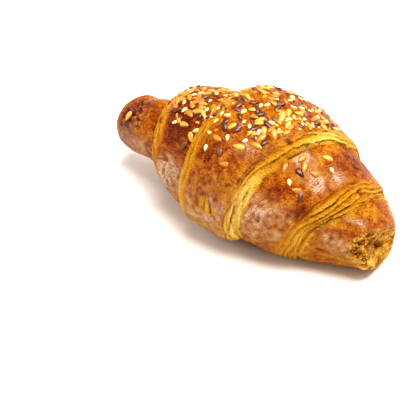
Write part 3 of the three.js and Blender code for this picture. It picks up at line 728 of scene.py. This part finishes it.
def lay_seeds(name, kind, seeds, slot):
    """All seeds of one kind as one mesh: each is tilted, turned and set on the crust's normal."""
    chosen = [seed for seed in seeds if seed[0] == kind]
    sx, sa, turn, size, tilt, lift = (np.array([seed[i] for seed in chosen], float) for i in range(1, 7))
    along = unit(crust_point(sx + 0.8, sa) - crust_point(sx - 0.8, sa))
    up = unit(np.cross(along, crust_point(sx, sa + 1.5) - crust_point(sx, sa - 1.5)))
    across = np.cross(up, along)
    basis = np.stack([along, across, up], -1)
    zero, one = np.zeros_like(turn), np.ones_like(turn)
    c, s = np.cos(np.radians(turn)), np.sin(np.radians(turn))
    yaw = np.stack([c, -s, zero, s, c, zero, zero, zero, one], -1).reshape(-1, 3, 3)
    c, s = np.cos(np.radians(tilt)), np.sin(np.radians(tilt))
    pitch = np.stack([c, zero, s, zero, one, zero, -s, zero, c], -1).reshape(-1, 3, 3)
    shape, rim = seed_shape(kind)
    spots = crust_point(sx, sa) + up * (SEED_SINK * SEEDS[kind]["height"] + lift)[:, None]
    points = np.einsum("nij,vj->nvi", basis @ yaw @ pitch, shape) * size[:, None, None]
    points = (points + spots[:, None, :]).reshape(-1, 3) + PLACE
    steps = np.arange(len(chosen))[:, None, None] * len(shape)
    quads, fans = ((faces + steps).reshape(-1, faces.shape[-1])
                   for faces in sheet_faces(SEED_RINGS - 1, SEED_SIDES))
    tones = np.random.default_rng(5).uniform(0, 1, len(chosen))
    values = {"tone": np.repeat(tones, len(shape)), "rim": np.tile(rim, len(chosen))}
    return make_piece(name, points, quads, fans, values, slot)


def seed_finish(name, colours, rim_shade_colour, roughness, scatter):
    """A smooth, slightly waxy seed coat, glossy on linseed and satin on hulled sesame. The colour runs
    from seed to seed through the stops, and painted shade darkens it towards the rim."""
    material = bpy.data.materials.new(name)
    material.use_nodes = True
    tree = material.node_tree
    coat = tree.nodes["Principled BSDF"]
    place = add(tree, "TexCoord", "Object", {})
    fine = add(tree, "TexNoise", "Fac", {"Vector": place, "Scale": 1000 / 1.1, "Detail": 3})
    tone = add(tree, "Attribute", "Fac", {}, attribute_name="tone")
    rim = add(tree, "Attribute", "Fac", {}, attribute_name="rim")
    tone = add(tree, "Math", 0, {0: tone, 1: 0.7}, operation="MULTIPLY")
    tone = add(tree, "Math", 0, {0: fine, 1: 0.3, 2: tone}, operation="MULTIPLY_ADD")
    last = len(colours) - 1
    order = [0, last] + list(range(1, last))
    body = add(tree, "ValToRGB", 0, {0: tone}, stops=[(i / last, colours[i]) for i in order])
    # Painted shade towards each seed's rim.
    rim = add(tree, "Math", 0, {0: rim, 1: 2.0}, operation="POWER")
    rim = add(tree, "Math", 0, {0: rim, 1: 0.85}, operation="MULTIPLY")
    body = add(tree, "Mix", 2, {0: rim, 6: body, 7: linear(rim_shade_colour)}, data_type="RGBA")
    tree.links.new(body, coat.inputs["Base Color"])
    coat.inputs["Roughness"].default_value = roughness
    coat.inputs["Subsurface Weight"].default_value = scatter
    coat.inputs["Subsurface Scale"].default_value = 0.5
    coat.inputs["Subsurface Radius"].default_value = (0.002, 0.001, 0.0005)
    tree.links.new(add(tree, "Bump", "Normal", {"Height": fine, "Strength": 0.3, "Distance": 0.0002}),
                   coat.inputs["Normal"])
    return material


seeds = scatter_seeds()
seeds += sprinkle_seeds(seeds)
seeds = seeds[:len(STRAYS)] + [keep_off_edge(seed) for seed in seeds[len(STRAYS):]]

# Golden linseeds: pale flax seeds with a hard, glossy coat in honey tones, with painted shade at the
# rim. They lie flat and are glued down by the egg wash.
golden = lay_seeds("golden_linseeds", "golden", seeds, "golden_linseed")
golden.data.materials.append(
    seed_finish("golden_linseed_coat", ["#A66614", "#CB8F30", "#E2B55A"], "#6A3A0C", 0.28, 0.1))

# Brown linseeds: the same seed in its dark form, a little smaller, reddish brown and as glossy. They
# are thickest in the crowd on top.
brown = lay_seeds("brown_linseeds", "brown", seeds, "brown_linseed")
brown.data.materials.append(
    seed_finish("brown_linseed_coat", ["#4A2216", "#6B3A24", "#8C5A3C"], "#2A110A", 0.26, 0.0))

# Sesame: the smallest seed. It is hulled, so it is cream and satin, and soft enough for some light
# to pass into it.
sesame = lay_seeds("sesame_seeds", "sesame", seeds, "sesame")
sesame.data.materials.append(
    seed_finish("hulled_sesame", ["#DDBE80", "#EAD4A0", "#F3E2B8"], "#C79A55", 0.4, 0.2))

# The studio: a white table under a soft white sky, with a large soft light overhead, a small key
# light behind on the right, a weak one straight behind and a weak one in front on the left. The
# camera stands where the photograph was taken from.

TABLE_SIZE = 6.0
table = bpy.data.objects.new("table", bpy.data.meshes.new("table"))
half = TABLE_SIZE / 2
corners = [(-half, -half, 0), (half, -half, 0), (half, half, 0), (-half, half, 0)]
table.data.from_pydata(corners, [], [(0, 1, 2, 3)])
bpy.context.scene.collection.objects.link(table)
white = bpy.data.materials.new("white_table")
white.use_nodes = True
paint = white.node_tree.nodes["Principled BSDF"]
paint.inputs["Base Color"].default_value = linear("#FAF8F5")
paint.inputs["Roughness"].default_value = 0.7
table.data.materials.append(white)

sky = bpy.data.worlds.new("soft_white")
bpy.context.scene.world = sky
sky.use_nodes = True
glow = sky.node_tree.nodes["Background"]
glow.inputs["Color"].default_value = (1.0, 0.955, 0.895, 1)
glow.inputs["Strength"].default_value = 0.49


def place_towards(obj, azimuth, elevation, distance, aim):
    """Puts an object at a distance from a point, in the direction of an azimuth and elevation."""
    a, e = math.radians(azimuth), math.radians(elevation)
    back = np.array([math.sin(a) * math.cos(e), -math.cos(a) * math.cos(e), math.sin(e)])
    obj.location = np.array(aim) + back * distance
    obj.rotation_euler = (math.pi / 2 - e, 0, a)
    bpy.context.scene.collection.objects.link(obj)


def soft_light(name, azimuth, elevation, distance, size, power):
    """A square lamp of a size in metres and a power in watts, turned towards the roll's middle."""
    lamp = bpy.data.lights.new(name, "AREA")
    lamp.size = size
    lamp.energy = power
    place_towards(bpy.data.objects.new(name, lamp), azimuth, elevation, distance, (0, 0, 0.02))


soft_light("overhead", 95, 78, 0.8, 0.55, 8.0)
soft_light("key", 140, 52, 0.8, 0.22, 1.7)
soft_light("rim", 180, 26, 0.8, 0.45, 0.8)
soft_light("fill", -65, 28, 0.8, 0.5, 1.3)

CAMERA_AZIMUTH, CAMERA_ELEVATION = 35, 42
CAMERA_DISTANCE = 0.507
CAMERA_AIM = (np.array([-19.0, -6.5, -4.5]) + PLACE) / 1000
camera = bpy.data.objects.new("camera", bpy.data.cameras.new("camera"))
camera.data.lens = 100
camera.data.sensor_width = 36
camera.data.clip_start = 0.01
place_towards(camera, CAMERA_AZIMUTH, CAMERA_ELEVATION, CAMERA_DISTANCE, CAMERA_AIM)
bpy.context.scene.camera = camera
bpy.context.scene.view_settings.view_transform = "Standard"
bpy.context.scene.view_settings.look = "High Contrast"
